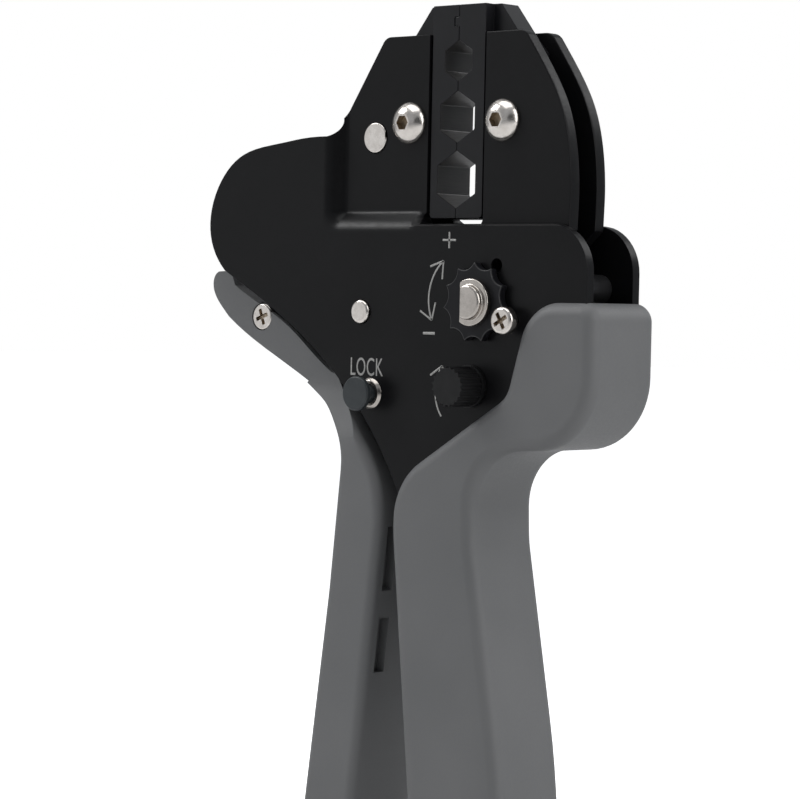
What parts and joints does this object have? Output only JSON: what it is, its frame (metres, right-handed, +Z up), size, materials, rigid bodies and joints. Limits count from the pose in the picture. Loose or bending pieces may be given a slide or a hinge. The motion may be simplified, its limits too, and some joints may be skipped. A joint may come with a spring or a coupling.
{
  "type": "coaxial crimping tool",
  "caption": "Ratchet hand tool that closes a hinged jaw on hexagonal dies to crimp coaxial connectors.",
  "frame": {"origin": "centre of the middle hexagonal cavity, on the mid-plane of the tool", "axes": "+Z up to the jaw tip, +X to the moving jaw side, +Y from the front face to the back"},
  "size_m": [0.0998, 0.0238, 0.2267],
  "materials": {
    "black_plate": "satin black",
    "die_steel": "black oxide",
    "bright_fastener": "bright nickel",
    "dark_steel": "dark oiled",
    "black_wheel": "satin black",
    "grey_grip": "fine matte",
    "black_plastic": "matte"
  },
  "bodies": {
    "frame": {"frame_plate_front": "black_plate", "frame_plate_rear": "black_plate", "handle_pivot_pin": "bright_fastener", "jaw_spacer_rivet": "bright_fastener", "opening_stop_pin": "dark_steel", "tang_rivets": "bright_fastener", "fixed_die": "die_steel", "die_screw_fixed": "bright_fastener", "wheel_lock_screw": "bright_fastener", "lock_collar": "bright_fastener", "fixed_grip": "grey_grip", "return_spring": "dark_steel", "pawl_spring": "dark_steel"},
    "jaw": {"jaw_plate_front": "black_plate", "jaw_plate_rear": "black_plate", "moving_die": "die_steel", "die_screw_moving": "bright_fastener", "link_pin_jaw": "dark_steel"},
    "handle": {"lever_plate_front": "dark_steel", "lever_plate_rear": "dark_steel", "ratchet_sector": "dark_steel", "sector_rivets": "dark_steel", "moving_grip": "grey_grip", "grip_screw": "bright_fastener", "link_pin_handle": "dark_steel"},
    "link": {"toggle_link": "dark_steel"},
    "adjuster": {"adjusting_wheel": "black_wheel", "jaw_pivot_pin": "bright_fastener", "pivot_pin_clip": "dark_steel"},
    "release": {"release_knob": "black_plastic", "knob_shaft": "dark_steel", "ratchet_pawl": "dark_steel"},
    "lock": {"lock_button": "black_plastic"}
  },
  "joints": [
    {"name": "handle_hinge", "type": "hinge", "parent": "frame", "child": "handle", "pos_m": [-0.0205, 0, -0.0365], "axis": [0, 1, 0], "range_deg": [0, 26]},
    {"name": "jaw_hinge", "type": "hinge", "parent": "frame", "child": "jaw", "pos_m": [0.009, 0, -0.0343], "axis": [0, 1, 0], "range_deg": [0, 15.08]},
    {"name": "link_hinge", "type": "hinge", "parent": "handle", "child": "link", "pos_m": [-0.022, 0, -0.043], "axis": [0, 1, 0], "range_deg": [-27.8, 0]},
    {"name": "adjuster_turn", "type": "hinge", "parent": "frame", "child": "adjuster", "pos_m": [0.009, 0, -0.0343], "axis": [0, 1, 0], "range_deg": [-150, 150]},
    {"name": "release_turn", "type": "hinge", "parent": "frame", "child": "release", "pos_m": [0.0072, 0, -0.0497], "axis": [0, 1, 0], "range_deg": [0, 8]},
    {"name": "lock_push", "type": "slide", "parent": "frame", "child": "lock", "axis": [0, 1, 0], "range_m": [0, 0.002]}
  ],
  "couplings": [
    {"joint": "jaw_hinge", "follows": "handle_hinge", "ratio": 0.58},
    {"joint": "link_hinge", "follows": "handle_hinge", "ratio": -1.0688}
  ]
}
